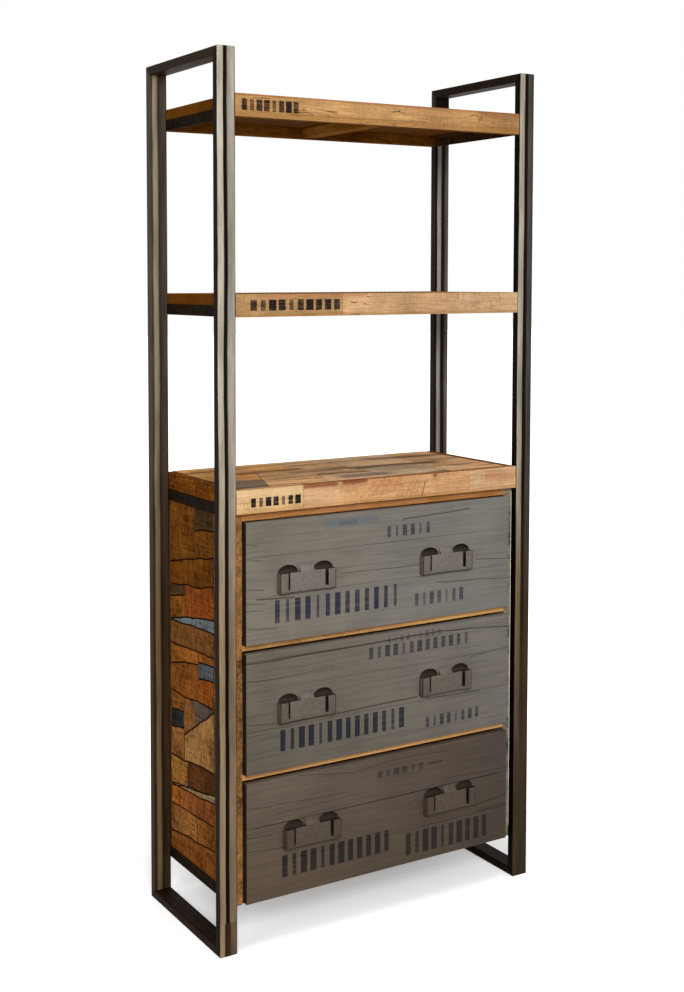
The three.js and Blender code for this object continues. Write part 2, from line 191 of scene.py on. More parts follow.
def streaked_steel(name, stripes, tube_starts, narrow_side, other=None):
    """Blackened steel: dark and satin, with streaks up the tube. A stripe is a share of the tube's face and a
    colour. other is the height up to which the streaks are others, the height from which they are these, and
    those other stripes"""
    made, tree = new_material(name)
    place = add(tree, "TexCoord").outputs["Object"]
    split = add(tree, "SeparateXYZ", {}, {0: place})
    face = {"clamp": False, "From Min": tube_starts, "From Max": tube_starts + TUBE_FACE}
    across = add(tree, "MapRange", face, {0: split})
    # the edges of the streaks wander by a millimetre or two over 300 mm
    waves = add(tree, "Mapping", {"Scale": (12, 12, 3.5)}, {0: place})
    slow = add(tree, "TexNoise", {"Scale": 1.0, "Detail": 3.0}, {0: waves})
    shift = add(tree, "MapRange", {"To Min": -0.08, "To Max": 0.08}, {0: slow})
    streak = add(tree, "Math", {"operation": "ADD"}, {0: across, 1: shift})
    colour = add(tree, "ValToRGB", {"stops": stripes}, {0: streak})
    if other:
        low, high, other_stripes = other
        fade = add(tree, "MapRange", {"From Min": low, "From Max": high}, {0: split.outputs["Z"]})
        below = add(tree, "ValToRGB", {"stops": other_stripes}, {0: streak})
        colour = add(tree, "Mix", {"data_type": "RGBA"}, {0: fade, 6: below, 7: colour}).outputs[2]
    # the tube's narrow sides have no streaks; on the posts, their dark colours are painted shade
    wide = add(tree, "Math", {"operation": "COMPARE", 1: 0.5, 2: 0.489}, {0: across})
    colour = add(tree, "Mix", {"data_type": "RGBA", 6: linear(narrow_side)}, {0: wide, 7: colour}).outputs[2]
    # fine drawn lines 1.5 mm apart, stains 17 mm wide and as long as a hand, and a browner foot
    drawn = add(tree, "Mapping", {"Scale": (650, 650, 9)}, {0: place})
    lines = add(tree, "TexNoise", {"Scale": 1.0, "Detail": 3.0, "Roughness": 0.6}, {0: drawn})
    long_spots = add(tree, "Mapping", {"Scale": (60, 60, 7)}, {0: place})
    stains = add(tree, "TexNoise", {"Scale": 1.0, "Detail": 4.0, "Roughness": 0.6}, {0: long_spots})
    amount = add(tree, "Math", {"operation": "MULTIPLY_ADD", 1: 0.4}, {0: lines, 2: stains})
    lightness = {"From Min": 0.45, "From Max": 0.95, "To Min": 0.6, "To Max": 1.3}
    shade = add(tree, "MapRange", lightness, {0: amount})
    height_share = add(tree, "MapRange", {"From Max": BOOKCASE_HEIGHT}, {0: split.outputs["Z"]})
    browning = {"stops": [(0.0, "#d2bea6"), (0.35, "#d2bca4"), (0.62, "#ffffff")]}
    foot = add(tree, "ValToRGB", browning, {0: height_share})
    wear_and_shade = add(tree, "VectorMath", {"operation": "MULTIPLY"}, {0: colour, 1: foot})
    tinted = add(tree, "VectorMath", {"operation": "SCALE"}, {0: wear_and_shade, "Scale": shade})
    rough = add(tree, "MapRange", {"To Min": 0.4, "To Max": 0.62}, {0: stains})
    satin = {"Metallic": 0.08, "Specular IOR Level": 0.02}
    surface(tree, amount, (0.3, 0.0004), satin, {"Base Color": tinted, "Roughness": rough})
    return made


# the stripes across each post are a painted reflection of the light, and each narrow side's colour is painted
# shade
post_streaks = {
    "left_front": (LEFT_TUBE, [
        (0.0, "#2a2018"), (0.05, "#b4ac9a"), (0.31, "#b0a896"), (0.36, "#0f0a09"), (0.52, "#17100f"),
        (0.59, "#928a7f"), (0.92, "#a2998d"), (0.98, "#3a3028"),
    ], "#130c07", (0.0755, 0.0765, [
        (0.0, "#2a2018"), (0.05, "#bfb39b"), (0.25, "#b8ab93"), (0.31, "#3e3127"), (0.56, "#483a2f"),
        (0.64, "#7f7367"), (0.93, "#85796d"), (0.98, "#3a3028"),
    ])),
    "left_back": (LEFT_TUBE, [
        (0.0, "#4a4038"), (0.15, "#453527"), (0.21, "#8f856e"), (0.42, "#857b65"), (0.5, "#33291f"),
        (0.7, "#453c33"), (0.92, "#4a4136"), (0.98, "#1c140e"),
    ], "#463d35"),
    "right_front": (RIGHT_TUBE, [
        (0.0, "#120d0a"), (0.04, "#b0a894"), (0.32, "#a69c88"), (0.38, "#0e0907"), (0.56, "#16100d"),
        (0.64, "#4c4742"), (0.9, "#47413b"), (0.97, "#241a12"),
    ], "#0c0805", (0.25, 1.0, [(0.0, "#4f4940"), (1.0, "#4b453c")])),
    # above 1.9 m the right back post is painted near black, as the shadow under the top bar
    "right_back": (RIGHT_TUBE, [
        (0.0, "#161210"), (0.14, "#1c1714"), (0.2, "#a49c8e"), (0.4, "#989082"), (0.47, "#1c1714"),
        (0.64, "#1a1612"), (0.74, "#4e483f"), (0.88, "#6a6458"), (0.97, "#2c2620"),
    ], "#2f2824", (1.925, 1.9, [(0.0, "#15100d"), (1.0, "#18130f")])),
}
for post, (start, stripes, *sides) in post_streaks.items():
    dress(streaked_steel("blackened_steel_" + post, stripes, start, *sides), post + "_post")

bar_stripes = [(0.0, "#21180f"), (0.25, "#2e2318"), (0.4, "#1d150d"), (0.65, "#2a2016"), (0.95, "#18110a")]
for hand, start, narrow_side in (("left", LEFT_TUBE, "#261c12"), ("right", RIGHT_TUBE, "#1c130b")):
    bar_steel = streaked_steel(f"blackened_steel_{hand}_bars", bar_stripes, start, narrow_side)
    dress(bar_steel, hand + "_top_bar", hand + "_bottom_bar")


# The cross rails are mild steel angle, 25 mm wide, welded between the posts and sprayed black with them. The
# spray is thin and matt, and dust has settled in it.
def sprayed_steel(name, shadow, tint):
    """Sprayed steel: flat and nearly without a gleam, paler where dust lies in blotches 17 mm wide"""
    made, tree = new_material(name)
    place = add(tree, "TexCoord").outputs["Object"]
    dust = add(tree, "TexNoise", {"Scale": 60.0, "Detail": 4.0}, {0: place})
    colour = add(tree, "ValToRGB", {"stops": [(0.35, shadow), (0.7, tint)]}, {0: dust})
    matt = {"Roughness": 0.75, "Specular IOR Level": 0.03}
    surface(tree, dust, (0.2, 0.0003), matt, {"Base Color": colour})
    return made


# on the right, under the shelves, the rails are a browner colour
black_steel = sprayed_steel("black_sprayed_steel", "#0d0805", "#20150b")
brown_steel = sprayed_steel("browner_sprayed_steel", "#2c1b0c", "#56381a")
for hand, under_shelves in (("left", black_steel), ("right", brown_steel)):
    dress(under_shelves, hand + "_rail_upper_shelf", hand + "_rail_middle_shelf")
    dress(black_steel, hand + "_rail_cabinet_top", hand + "_rail_cabinet_base")


# The two open shelves are boards of old teak, sawn again and oiled: warm brown with a fuzz of saw marks
# across the grain. Strips glued on in front and behind hide the steel, and a batten stiffens each board.
def apart(tree, source, middle):
    """How far a value lies from the middle, either way"""
    off = add(tree, "Math", {"operation": "SUBTRACT", 1: middle}, {0: source})
    return add(tree, "Math", {"operation": "ABSOLUTE"}, {0: off})


def stencilled(tree, colour, wear, rows, ink):
    """Adds rows of plain bars, stencilled and worn: a row is low x, high x, low z, high z, bars, strength and
    perhaps the least and the greatest half width of a bar, as shares of its place"""
    coords = add(tree, "SeparateXYZ", {}, {0: add(tree, "TexCoord").outputs["Object"]})
    for low_x, high_x, low_z, high_z, bars, strength, *halves in rows:
        thin, thick = halves or (0.13, 0.3)
        count = {"clamp": False, "From Min": low_x, "From Max": high_x, "To Max": float(bars)}
        along = add(tree, "MapRange", count, {0: coords})
        cell = add(tree, "Math", {"operation": "FLOOR"}, {0: along})
        beat = add(tree, "Math", {"operation": "FRACT"}, {0: along})
        chance = add(tree, "TexWhiteNoise", {"noise_dimensions": "1D"}, {"W": cell})
        half = add(tree, "MapRange", {"To Min": thin, "To Max": thick}, {0: chance})
        # some bars took less ink than others
        other_chance = add(tree, "SeparateXYZ", {}, {0: chance.outputs["Color"]})
        paler = add(tree, "MapRange", {"To Min": 0.7}, {0: other_chance})
        bar = add(tree, "Math", {"operation": "LESS_THAN"}, {0: apart(tree, beat, 0.5), 1: half})
        span = add(tree, "Math", {"operation": "COMPARE", 1: bars / 2, 2: bars / 2}, {0: along})
        middle_z, half_z = (low_z + high_z) / 2, (high_z - low_z) / 2
        rise = add(tree, "Math", {"operation": "COMPARE", 1: middle_z, 2: half_z}, {0: coords.outputs["Z"]})
        rubbed = {"From Min": 0.35, "From Max": 0.85, "To Min": strength, "To Max": 0.7 * strength}
        wear_and_shade = add(tree, "MapRange", rubbed, {0: wear})
        for share in (span, rise, wear_and_shade, paler):
            bar = add(tree, "Math", {"operation": "MULTIPLY"}, {0: bar, 1: share})
        colour = add(tree, "Mix", {"data_type": "RGBA", 7: linear(ink)}, {0: bar, 6: colour}).outputs[2]
    return colour


WIDEST_JOINT = 0.007


def scored(tree, colour, height, lines, stray, second="Z"):
    """Adds joints, cracks and stains: a line is low x, its z, high x, its z, width, strength and perhaps a
    colour. stray is how far a line leaves its course. Gives the colour, and the height with the lines cut in.
    A stain, wider than a joint, fades out at its borders. second is Y on a face seen from above"""
    place = add(tree, "TexCoord").outputs["Object"]
    coords = add(tree, "SeparateXYZ", {}, {0: place})
    slow = add(tree, "TexNoise", {"Scale": 7.0, "Detail": 4.0}, {0: place})
    shift = add(tree, "MapRange", {"To Min": -stray, "To Max": stray}, {0: slow})
    for x0, z0, x1, z1, width, strength, *ink in lines:
        slope = (z1 - z0) / (x1 - x0)
        half = width / 2 * math.hypot(1, slope)
        soft = half * (0.2 if width < WIDEST_JOINT else 0.65)
        reach = abs(x1 - x0) / 2
        line = add(tree, "Math", {"operation": "MULTIPLY_ADD", 1: slope, 2: z0 - slope * x0}, {0: coords})
        line = add(tree, "Math", {"operation": "ADD"}, {0: line, 1: shift})
        off = add(tree, "Math", {"operation": "SUBTRACT"}, {0: coords.outputs[second], 1: line})
        off = add(tree, "Math", {"operation": "ABSOLUTE"}, {0: off})
        borders = {"From Min": half - soft, "From Max": half + soft, "To Min": strength, "To Max": 0.0}
        near = add(tree, "MapRange", borders, {0: off})
        ends = {"From Min": reach - soft, "From Max": reach + soft, "To Min": 1.0, "To Max": 0.0}
        span = add(tree, "MapRange", ends, {0: apart(tree, coords, (x0 + x1) / 2)})
        near = add(tree, "Math", {"operation": "MULTIPLY"}, {0: near, 1: span})
        paint = linear(ink[0] if ink else "#2a2018")
        colour = add(tree, "Mix", {"data_type": "RGBA", 7: paint}, {0: near, 6: colour}).outputs[2]
        height = add(tree, "Math", {"operation": "SUBTRACT"}, {0: height, 1: near})
    return colour, height


def old_wood(name, grain, tones=None, rows=(), lines=(), saw=0.15, coarse=1.0, depth=0.45, heart=0.0,
             second="Z", stray=0.0015):
    """Oiled old wood, matt and warm, whose grain runs along an axis; without tones, each piece has its own
    colour. rows are stencilled, and lines scored. saw is how much the saw marks show, coarse how many times
    wider the marks are, depth how far they darken and lighten the wood, and heart how dark the streaks of
    heartwood are; second and stray are the lines'"""
    made, tree = new_material(name)
    place = add(tree, "TexCoord").outputs["Object"]
    if not tones:
        # each piece is cut from another place in the tree
        piece = add(tree, "Attribute", {"attribute_name": "piece"})
        jump = {"operation": "MULTIPLY_ADD", 1: (3.1, 1.7, 2.3)}
        place = add(tree, "VectorMath", jump, {0: piece.outputs["Alpha"], 2: place})
    axis = "XYZ".index(grain)

    def stretched(along, across):
        """The place, in marks that are so long along the grain and so wide across it, in metres"""
        scale = [1 / across] * 3
        scale[axis] = 1 / along
        return add(tree, "Mapping", {"Scale": scale}, {0: place})

    # fibres 3 mm wide and as long as a finger, saw marks 5 mm apart across them, specks and blotches of oil;
    # all are drawn a little coarser than the real ones, which would be too fine to show
    fibre_share, fuzz_share, blotch_share = 0.45, 0.35, 0.4
    drawn_out = {"Scale": 1.0, "Detail": 4.0, "Roughness": 0.6, "Distortion": 0.2}
    fibres = add(tree, "TexNoise", drawn_out, {0: stretched(0.07, 0.003 * coarse)})
    cuts = stretched(0.005 * coarse, 0.03)
    sawn = add(tree, "TexNoise", {"Scale": 1.0, "Detail": 3.0, "Roughness": 0.6}, {0: cuts})
    fuzz = add(tree, "TexNoise", {"Scale": 230.0 / coarse, "Detail": 3.0, "Roughness": 0.65}, {0: place})
    blotch = add(tree, "TexNoise", {"Scale": 9.0, "Detail": 3.0}, {0: place})
    tone = add(tree, "Math", {"operation": "MULTIPLY", 1: fibre_share}, {0: fibres})
    for source, share in ((sawn, saw), (fuzz, fuzz_share), (blotch, blotch_share)):
        tone = add(tree, "Math", {"operation": "MULTIPLY_ADD", 1: share}, {0: source, 2: tone})
    middle = (fibre_share + saw + fuzz_share + blotch_share) / 2
    tone = add(tree, "MapRange", {"From Min": middle - 0.16, "From Max": middle + 0.16}, {0: tone})
    if tones:
        dark, usual, pale = tones
        colour = add(tree, "ValToRGB", {"stops": [(0.0, dark), (0.5, usual), (1.0, pale)]}, {0: tone})
    else:
        shade = add(tree, "MapRange", {"To Min": 1 - depth, "To Max": 1 + depth}, {0: tone})
        colour = add(tree, "VectorMath", {"operation": "SCALE"}, {0: piece.outputs["Color"], "Scale": shade})
    if heart:
        # streaks of heartwood, 25 mm wide and as long as an arm
        long_marks = {"Scale": 1.0, "Detail": 3.0, "Distortion": 0.4}
        streaks = add(tree, "TexNoise", long_marks, {0: stretched(0.4, 0.025)})
        darkening = {"From Min": 0.54, "From Max": 0.64, "To Min": 1.0, "To Max": 1 - heart}
        dark = add(tree, "MapRange", darkening, {0: streaks})
        colour = add(tree, "VectorMath", {"operation": "SCALE"}, {0: colour, "Scale": dark})
    # short drying cracks along the grain, a few tenths of a millimetre wide, only in the drier blotches
    long_marks = {"Scale": 1.0, "Detail": 2.0, "Distortion": 0.3}
    split = apart(tree, add(tree, "TexNoise", long_marks, {0: stretched(0.16, 0.02)}), 0.5)
    where = add(tree, "MapRange", {"From Min": 0.54, "From Max": 0.62, "To Max": 0.008}, {0: blotch})
    crack = add(tree, "Math", {"operation": "LESS_THAN"}, {0: split, 1: where})
    dark = add(tree, "MapRange", {"To Min": 1.0, "To Max": 0.35}, {0: crack})
    last = add(tree, "VectorMath", {"operation": "SCALE"}, {0: colour, "Scale": dark})
    height = add(tree, "Math", {"operation": "SUBTRACT"}, {0: tone, 1: crack})
    last, height = scored(tree, last, height, lines, stray, second)
    last = stencilled(tree, last, tone, rows, "#241c1c")
    oiled = {"Roughness": 0.82, "Specular IOR Level": 0.02}
    surface(tree, height, (0.45, 0.0006), oiled, {"Base Color": last})
    return made


POST_FRONT = -0.1705
GROOVE, UNEVENNESS = 0.001, 0.0005
ALL_OVER = (-9999, -9999, 9999, 9999)


def patched_board(name, node, side, material, cuts, tones, marks=(), edge="#7a4e28", seed=1, joint=0.0007,
                  wander=0.0):
    """A board pieced together, in the place of a CAD node. side is the face that shows. A cut is a line
    across it in millimetres and the window where it is made; a mark is a spot and that piece's colour. y
    starts at the posts. edge is the colour of the block's other sides, joint half a groove's width, wander
    how far joints stray"""
    low, high = (Vector(corner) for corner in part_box(node))
    axis, sign = "xyz".index(side[1]), 1 if side[0] == "+" else -1
    first, second = [i for i in range(3) if i != axis]
    outward = Vector([sign * (i == axis) for i in range(3)])
    outer = (high if sign > 0 else low)[axis]
    start = [0, POST_FRONT, 0]

    def on_face(u, v):
        """A place on the face that shows, in metres"""
        point = Vector((outer, outer, outer))
        point[first], point[second] = start[first] + u / 1000, start[second] + v / 1000
        return point

    def shows(face):
        """Whether a face of the mesh is part of the face that shows"""
        return face.normal.dot(outward) > 0.9

    def from_rim(point):
        """How far inside the face's outline a point lies"""
        return min(min(point[i] - low[i], high[i] - point[i]) for i in (first, second))

    def pick(window):
        """Selects the pieces whose middle is in the window"""
        bpy.ops.mesh.select_all(action="DESELECT")
        form = bmesh.from_edit_mesh(board.data)
        for face in form.faces:
            spot = (face.calc_center_bounds() - Vector(start)) * 1000
            inside = window[0] < spot[first] < window[2] and window[1] < spot[second] < window[3]
            face.select_set(shows(face) and inside)
        bmesh.update_edit_mesh(board.data)

    # the block is a groove's depth short of the face, and each piece is then inset and raised by that much
    bpy.ops.object.select_all(action="DESELECT")
    lowered = Vector([GROOVE * (i == axis) for i in range(3)])
    middle = (low + high) / 2 - outward * GROOVE / 2
    bpy.ops.mesh.primitive_cube_add(size=1, location=middle, scale=high - low - lowered)
    board = bpy.context.object
    board.name = name
    bpy.ops.object.transform_apply(location=True, rotation=True, scale=True)
    bpy.ops.object.mode_set(mode="EDIT")
    bpy.ops.mesh.select_mode(type="FACE")
    for u0, v0, u1, v1, *window in cuts:
        pick(window or ALL_OVER)
        line = on_face(u1, v1) - on_face(u0, v0)
        bpy.ops.mesh.bisect(plane_co=on_face(u0, v0), plane_no=line.cross(outward))
    if wander:
        # joints sawn by hand stray, so each gets more points, and these are pushed about within the face, in
        # bends 70 mm long with small ones of 17 mm on them
        noise.seed_set(seed)
        form = bmesh.from_edit_mesh(board.data)
        inner = [line for line in form.edges if len(line.link_faces) == 2]
        seams = [line for line in inner if all(map(shows, line.link_faces))]
        bmesh.ops.bisect_edges(form, edges=seams, cuts=7)
        for point in form.verts:
            if from_rim(point.co) > 0.001 and abs(point.co[axis] - outer) < 2 * GROOVE:
                push = noise.noise_vector(point.co * 14 + Vector((seed, 0, 0))) * wander
                push += noise.noise_vector(point.co * 60) * wander / 3
                push[axis] = 0
                point.co += push
        bmesh.update_edit_mesh(board.data)
    pick(ALL_OVER)
    bpy.ops.mesh.inset(thickness=joint, depth=GROOVE, use_individual=True)
    rng = random.Random(seed)
    pieces = [face.index for face in bmesh.from_edit_mesh(board.data).faces if face.select]
    for index in pieces:
        bpy.ops.mesh.select_all(action="DESELECT")
        form = bmesh.from_edit_mesh(board.data)
        form.faces.ensure_lookup_table()
        form.faces[index].select_set(True)
        bpy.ops.transform.translate(value=outward * rng.uniform(-UNEVENNESS, 0))
    bpy.ops.object.mode_set(mode="OBJECT")

    # each piece has its own colour and its own place in the figure of the wood; the grooves are dark, and
    # those at the ends of the pieces are tighter, so they are paler
    mesh = board.data
    bpy.context.view_layer.update()
    colours = {}
    for polygon in mesh.polygons:
        facing = polygon.normal.dot(outward)
        if facing > 0.99:
            lighter = rng.uniform(0.88, 1.12)
            tone = [part * lighter for part in linear(rng.choice(tones))[:3]] + [rng.random()]
        else:
            crossways = abs(polygon.normal[first]) > abs(polygon.normal[second])
            groove = "#4a2e18" if crossways else "#140903"
            tone = linear(groove if facing > 0.01 and from_rim(polygon.center) > joint else edge)
        colours[polygon.index] = tone
    for u, v, tone in marks:
        index = board.ray_cast(on_face(u, v) + 0.01 * outward, -outward)[3]
        colours[index] = linear(tone)[:3] + [rng.random()]
    layer = mesh.color_attributes.new("piece", "FLOAT_COLOR", "CORNER")
    for polygon in mesh.polygons:
        for corner in polygon.loop_indices:
            layer.data[corner].color = colours[polygon.index]
    mesh.materials.append(material)
    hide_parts(node)
    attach(board, "bookcase")
    return board


# the boards are brown and lively, each length in a shade of its own, and their ends and undersides are
# painted darker as shade; the strips behind them are darker, and the battens have a golden brown
shelf_boards = old_wood("oiled_teak_boards", "X")
for shelf, seed in (("upper_shelf", 3), ("middle_shelf", 8)):
    front_end, middle_end = -140 + 9 * seed, 170 - 20 * seed
    lengths = [
        (-395, 112, 395, 109), (-395, 231, 395, 234), (front_end, 0, front_end, 355, -395, 0, 395, 111),
        (middle_end, 0, middle_end, 355, -395, 111, 395, 232), (210, 0, 210, 355, -395, 232, 395, 355),
    ]
    board = patched_board(shelf + "_planks", shelf + "_board", "+z", shelf_boards, lengths,
                          ["#a8763f", "#9a6a38", "#8a5c30", "#b08048"], edge="#62390b", seed=seed)
hidden_teak = old_wood("oiled_teak_below", "X", ["#56300a", "#8e5818", "#b2762c"])
dress(hidden_teak, "upper_shelf_back_strip", "middle_shelf_back_strip")
pale_teak = old_wood("oiled_teak_battens", "Y", ["#683a0d", "#a66b25", "#c48c42"])
dress(pale_teak, "upper_shelf_batten", "middle_shelf_batten")

# the front strips are planed and paler, with a brown border, a few stains and worn black stencilling
upper_lines = [
    (-0.395, 1.900, 0.395, 1.900, 0.006, 0.5, "#9a5a3a"), (-0.395, 1.856, 0.395, 1.858, 0.02, 0.5, "#94642e"),
    (-0.395, 1.878, -0.215, 1.878, 0.05, 0.28, "#7a5426"),
    (-0.260, 1.862, 0.120, 1.866, 0.003, 0.4, "#6a4420"), (0.27, 1.896, 0.395, 1.895, 0.02, 0.35, "#8a5a34"),
    (0.05, 1.889, 0.268, 1.888, 0.012, 0.35, "#cf9a68"),
]
upper_teak = old_wood("oiled_teak_upper_strip", "X", lines=upper_lines,
                      rows=[(-0.381, -0.232, 1.866, 1.891, 8, 1.15, 0.24, 0.42)])
board = patched_board("upper_shelf_edge", "upper_shelf_front_strip", "-y", upper_teak,
                      [(268, 1800, 269, 1950)], ["#bc8c5c"],
                      [(0, 1880, "#b58b5b"), (330, 1880, "#ac8254")], edge="#7a5022", seed=4, joint=0.0002)
middle_lines = [
    (-0.395, 1.4225, 0.395, 1.4225, 0.007, 0.4, "#94642e"),
    (-0.33, 1.464, -0.05, 1.465, 0.008, 0.5, "#b87452"),
]
middle_teak = old_wood("oiled_teak_middle_strip", "X", lines=middle_lines,
                       rows=[(-0.362, -0.121, 1.433, 1.457, 10, 1.15, 0.22, 0.42)])
board = patched_board("middle_shelf_edge", "middle_shelf_front_strip", "-y", middle_teak,
                      [(-118, 1400, -117, 1500), (215, 1400, 214, 1500)], ["#c49a6c"],
                      [(-300, 1450, "#aa8559"), (0, 1450, "#c49c72"), (300, 1450, "#cba57d")],
                      edge="#8a5e30", seed=6, joint=0.0002)


# The cabinet top is made of short lengths of the same boards, laid to show their joints, with a front strip
# of three lengths and a strip across each end. The boards are painted paler than the wood, as painted light
# that makes up for the shade of the shelves above, with dark heartwood and stains.
top_lines = [
    (0.020, 0.011, 0.280, -0.002, 0.028, 0.75, "#3e2f26"),
    (-0.040, 0.020, 0.060, 0.012, 0.016, 0.6, "#5a4434"),
    (-0.078, -0.103, 0.062, -0.106, 0.040, 0.75, "#565654"),
    (-0.275, 0.056, -0.085, 0.062, 0.026, 0.75, "#6a3c24"),
    (-0.290, -0.060, -0.050, -0.050, 0.016, 0.55, "#6a5440"),
    (0.150, 0.118, 0.376, 0.112, 0.030, 0.65, "#4c392b"),
    (-0.350, 0.140, 0.000, 0.150, 0.014, 0.5, "#5e4030"),
    (0.100, -0.060, 0.340, -0.066, 0.012, 0.5, "#6a4e3a"),
]
top_boards = old_wood("oiled_teak_top", "X", lines=top_lines, heart=0.62, second="Y", stray=0.006)
joints = [
    (28, 0, 28, 355), (-376, 219, 28, 207, -376, 0, 28, 355), (28, 181, 376, 174, 28, 0, 376, 355),
    (36, 178, 376, 200, 28, 181, 376, 355), (-100, 0, -100, 355, -376, 215, 28, 355),
    (167, 177, 339, 20, 28, 0, 376, 178), (-260, 121, -300, 20, -376, 0, 28, 212),
    (-376, 139, -262, 122, -376, 0, -265, 212), (-258, 150, 28, 141, -285, 0, 28, 212),
    (-120, 82, -140, 20, -285, 0, 28, 145), (-150, 150, -152, 212, -285, 145, 28, 212),
    (230, 190, 232, 355, 28, 190, 376, 355), (210, 20, 211, 178, 28, 100, 260, 176),
]
spots = [
    (-330, 80, "#7e6a56"), (-330, 180, "#d59655"), (-200, 60, "#d5a573"), (-60, 60, "#c8a17a"),
    (-230, 180, "#cc9c6d"), (-60, 175, "#d2a77a"), (-250, 290, "#dca366"), (-40, 290, "#d3a578"),
    (100, 80, "#c2a684"), (300, 130, "#d7a776"), (250, 30, "#d9ac7e"), (120, 270, "#e5ba8f"),
    (320, 280, "#d7a578"), (200, 187, "#c8a17a"),
]
board = patched_board("cabinet_top_planks", "cabinet_top_board", "+z", top_boards, joints,
                      ["#d0a57c", "#c89f76", "#bf905e"], spots, seed=11)

# the front strip is the palest: a sanded border above, slanting saw marks, a knot, and a crack beside it
strip_lines = [
    (-0.395, 1.031, -0.222, 1.031, 0.022, 0.4, "#e8c89a"),
    (-0.395, 0.990, 0.395, 0.990, 0.008, 0.35, "#b07838"),
    (-0.222, 1.010, -0.120, 1.012, 0.036, 0.35, "#e6c49c"),
    (-0.222, 1.036, -0.131, 1.036, 0.010, 0.8, "#7c3c2a"),
    (-0.117, 1.037, -0.048, 1.038, 0.010, 0.8, "#7c3c2a"),
    (-0.040, 1.024, 0.055, 1.028, 0.03, 0.35, "#a85e3c"), (0.300, 1.020, 0.395, 1.018, 0.02, 0.4, "#a85e3c"),
]
slants = [
    (-0.070, 0.996, -0.020, 0.35), (-0.045, 0.996, 0.002, 0.35), (-0.020, 0.994, 0.024, 0.35),
    (0.008, 0.993, 0.046, 0.35), (0.034, 0.992, 0.066, 0.35), (0.060, 0.992, 0.084, 0.4),
    (0.074, 0.992, 0.096, 0.4), (0.088, 0.992, 0.106, 0.3),
]
strip_lines += [(x0, z0, x1, 1.036, 0.002, deep, "#a0622e") for x0, z0, x1, deep in slants]
strip_lines += [
    (0.1066, 0.986, 0.118, 1.026, 0.0025, 0.85, "#5a2e14"),
    (0.136, 1.034, 0.158, 1.034, 0.016, 0.35, "#a4683a"),
    (0.143, 1.035, 0.150, 1.035, 0.008, 0.85, "#3c2614"),
]
strip_teak = old_wood("oiled_teak_cabinet_strip", "X", lines=strip_lines,
                      rows=[(-0.361, -0.227, 1.000, 1.020, 7, 1.15, 0.2, 0.4)])
board = patched_board("cabinet_top_edge", "cabinet_top_front_strip", "-y", strip_teak,
                      [(-222, 900, -222, 1100), (248, 900, 249, 1100)], ["#cc9c6c"],
                      [(-300, 1010, "#d6b07e"), (0, 1010, "#cd9c6d"), (300, 1010, "#d4a97f")],
                      edge="#8a5a2a", seed=2, joint=0.0004)

# the end strips are painted dark, as shade on the ends, and are coarse
shaded_end_teak = old_wood("shaded_oiled_teak_ends", "Y", ["#3c1f06", "#6d3c0e", "#93591c"], saw=0.4, coarse=1.6)
dress(shaded_end_teak, "cabinet_top_left_strip", "cabinet_top_right_strip")


# The cabinet's sides are pieced from short ends of old boards, some with old blue-grey paint left on, between
# a front and a back stile, then oiled dark. The back and the bottom are plain planks of the same wood.
patchwork = old_wood("patched_boards", "Y", saw=0.5, coarse=1.8, depth=0.7)
left_cuts = [
    (108, 0, 108, 999), (332, 0, 332, 999), (332, 826, 130, 867, 130, 0, 332, 999),
    (332, 690, 130, 727, 130, 0, 332, 880), (332, 685, 130, 697, 130, 0, 332, 710),
    (332, 627, 130, 641, 130, 0, 332, 691), (332, 513, 130, 521, 130, 0, 332, 634),
    (332, 353, 130, 373, 130, 0, 332, 517), (332, 285, 130, 317, 130, 0, 332, 363),
    (332, 280, 130, 300, 130, 0, 332, 301), (332, 235, 130, 248, 130, 0, 332, 290),
    (332, 165, 130, 190, 130, 0, 332, 242), (202, 0, 202, 999, 130, 880, 332, 999),
    (202, 919, 120, 932, 130, 880, 202, 999), (332, 770, 130, 800, 130, 710, 332, 880),
    (252, 0, 252, 999, 130, 710, 332, 786), (332, 742, 250, 757, 252, 700, 332, 786),
    (187, 0, 187, 999, 130, 517, 332, 634), (187, 574, 117, 587, 130, 517, 187, 634),
    (187, 613, 117, 625, 130, 585, 187, 634), (332, 580, 187, 607, 187, 517, 332, 634),
    (262, 0, 262, 999, 130, 363, 332, 517), (332, 426, 262, 434, 262, 363, 332, 517),
    (332, 467, 262, 473, 262, 430, 332, 517), (262, 418, 130, 505, 130, 363, 262, 517),
    (215, 520, 190, 450, 130, 440, 262, 517), (245, 0, 245, 999, 130, 301, 332, 363),
    (286, 0, 286, 999, 130, 242, 332, 290), (195, 0, 195, 999, 130, 178, 332, 242),
    (72, 0, 72, 999, 0, 0, 130, 999),
]
left_spots = [
    (100, 500, "#7d4a20"), (40, 500, "#744418"), (340, 500, "#5c3a18"), (166, 955, "#45301a"),
    (165, 900, "#6a3f14"), (270, 930, "#6a3f14"), (230, 830, "#63390f"), (190, 760, "#7a3f18"),
    (300, 758, "#4a3420"), (300, 725, "#84501c"), (150, 707, "#62686a"), (230, 665, "#6b4420"),
    (150, 600, "#545b5e"), (150, 626, "#86501f"), (150, 550, "#8a4a18"), (260, 610, "#86501f"),
    (260, 550, "#77451b"), (300, 450, "#272a29"), (300, 495, "#7a4c20"), (300, 390, "#85582e"),
    (165, 505, "#5a4c44"), (235, 485, "#7c522a"), (200, 400, "#946a3d"), (190, 335, "#4e2e14"),
    (290, 325, "#946330"), (200, 298, "#897250"), (310, 262, "#a5611f"), (200, 265, "#834a23"),
    (280, 215, "#87582c"), (160, 215, "#7d4b1f"), (230, 135, "#77451b"),
]
browns = ["#6a3f14", "#7a4420", "#86501f", "#5c3810", "#7c522a", "#8a6238"]
# the panel's edges are painted a lighter brown, as the light falling on its front edge
board = patched_board("cabinet_left_panel", "cabinet_left_side", "-x", patchwork, left_cuts, browns,
                      left_spots, edge="#9c6c3c", seed=5, joint=0.0019, wander=0.006)

